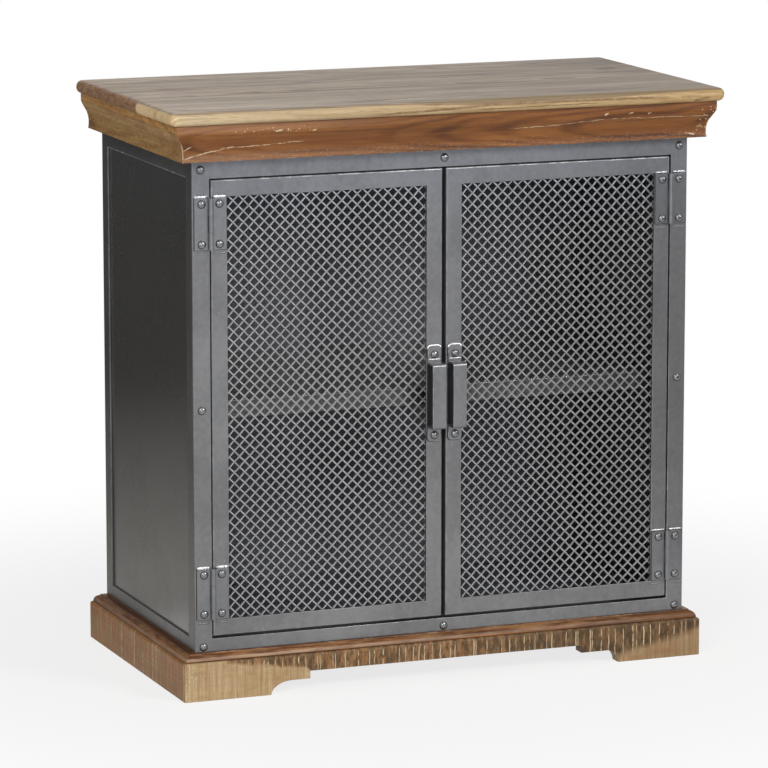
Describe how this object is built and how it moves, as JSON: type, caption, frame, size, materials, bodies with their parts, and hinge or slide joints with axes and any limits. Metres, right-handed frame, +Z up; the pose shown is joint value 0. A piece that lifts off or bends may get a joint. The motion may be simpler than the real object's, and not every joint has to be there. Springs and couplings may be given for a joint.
{
  "type": "storage cabinet",
  "caption": "Steel storage cabinet with hinged wire-mesh doors, folded strip handles and an inner shelf, under a moulded timber top and on a timber plinth with bracket feet.",
  "frame": {"origin": "on the floor, at the middle of the cabinet's outline", "axes": "+X to the right seen from the front, +Y from the front to the back, +Z up"},
  "size_m": [0.8, 0.437, 0.798],
  "materials": {
    "top_timber": "oiled mixed hardwood boards",
    "cornice_timber": "oiled reclaimed hardwood, red brown",
    "cornice_side_timber": "oiled reclaimed hardwood, olive tan",
    "plinth_timber": "oiled reclaimed hardwood with saw marks",
    "moulding_timber": "oiled reclaimed hardwood, red brown",
    "inner_timber": "bare softwood",
    "frame_steel": "gunmetal lacquer, satin",
    "sheet_steel": "gunmetal lacquer, satin",
    "mesh_steel": "gunmetal lacquer, satin",
    "fitting_steel": "gunmetal lacquer, worn at the edges",
    "pin_steel": "plain steel",
    "magnet": "nickel plated"
  },
  "bodies": {
    "cabinet": {"back_panel": "sheet_steel", "base_moulding_back": "moulding_timber", "base_moulding_front": "moulding_timber", "base_moulding_left": "moulding_timber", "base_moulding_right": "moulding_timber", "catch_bracket": "sheet_steel", "catch_magnets": "magnet", "corner_post_front_left": "frame_steel", "corner_post_front_right": "frame_steel", "corner_post_rear_left": "frame_steel", "corner_post_rear_right": "frame_steel", "cornice_back_rail": "inner_timber", "cornice_front": "cornice_timber", "cornice_left": "cornice_side_timber", "cornice_right": "cornice_side_timber", "floor_panel": "sheet_steel", "frame_rivets": "fitting_steel", "front_bottom_rail": "frame_steel", "front_top_rail": "frame_steel", "left_bottom_rail": "frame_steel", "left_hinge_frame_leaves": "fitting_steel", "left_hinge_pins": "pin_steel", "left_side_panel": "sheet_steel", "left_top_rail": "frame_steel", "plinth_back": "plinth_timber", "plinth_corner_blocks": "inner_timber", "plinth_front": "plinth_timber", "plinth_left": "plinth_timber", "plinth_right": "plinth_timber", "rear_bottom_rail": "frame_steel", "rear_top_rail": "frame_steel", "right_bottom_rail": "frame_steel", "right_hinge_frame_leaves": "fitting_steel", "right_hinge_pins": "pin_steel", "right_side_panel": "sheet_steel", "right_top_rail": "frame_steel", "shelf": "sheet_steel", "shelf_bearers": "sheet_steel", "top_board_front": "top_timber", "top_board_rear": "top_timber", "top_board_second": "top_timber", "top_board_third": "top_timber", "top_panel": "sheet_steel"},
    "left_door": {"left_door_bottom_rail": "frame_steel", "left_door_hinge_stile": "frame_steel", "left_door_meeting_stile": "frame_steel", "left_door_mesh": "mesh_steel", "left_door_rivets": "fitting_steel", "left_door_top_rail": "frame_steel", "left_handle": "fitting_steel", "left_hinge_door_leaves": "fitting_steel"},
    "right_door": {"right_door_bottom_rail": "frame_steel", "right_door_hinge_stile": "frame_steel", "right_door_meeting_stile": "frame_steel", "right_door_mesh": "mesh_steel", "right_door_rivets": "fitting_steel", "right_door_top_rail": "frame_steel", "right_handle": "fitting_steel", "right_hinge_door_leaves": "fitting_steel"}
  },
  "joints": [
    {"name": "left_door_hinge", "type": "hinge", "parent": "cabinet", "child": "left_door", "pos_m": [-0.33425, -0.1823, 0.3945], "axis": [0, 0, -1], "range_deg": [0, 165]},
    {"name": "right_door_hinge", "type": "hinge", "parent": "cabinet", "child": "right_door", "pos_m": [0.33425, -0.1823, 0.3945], "axis": [0, 0, 1], "range_deg": [0, 165]}
  ]
}
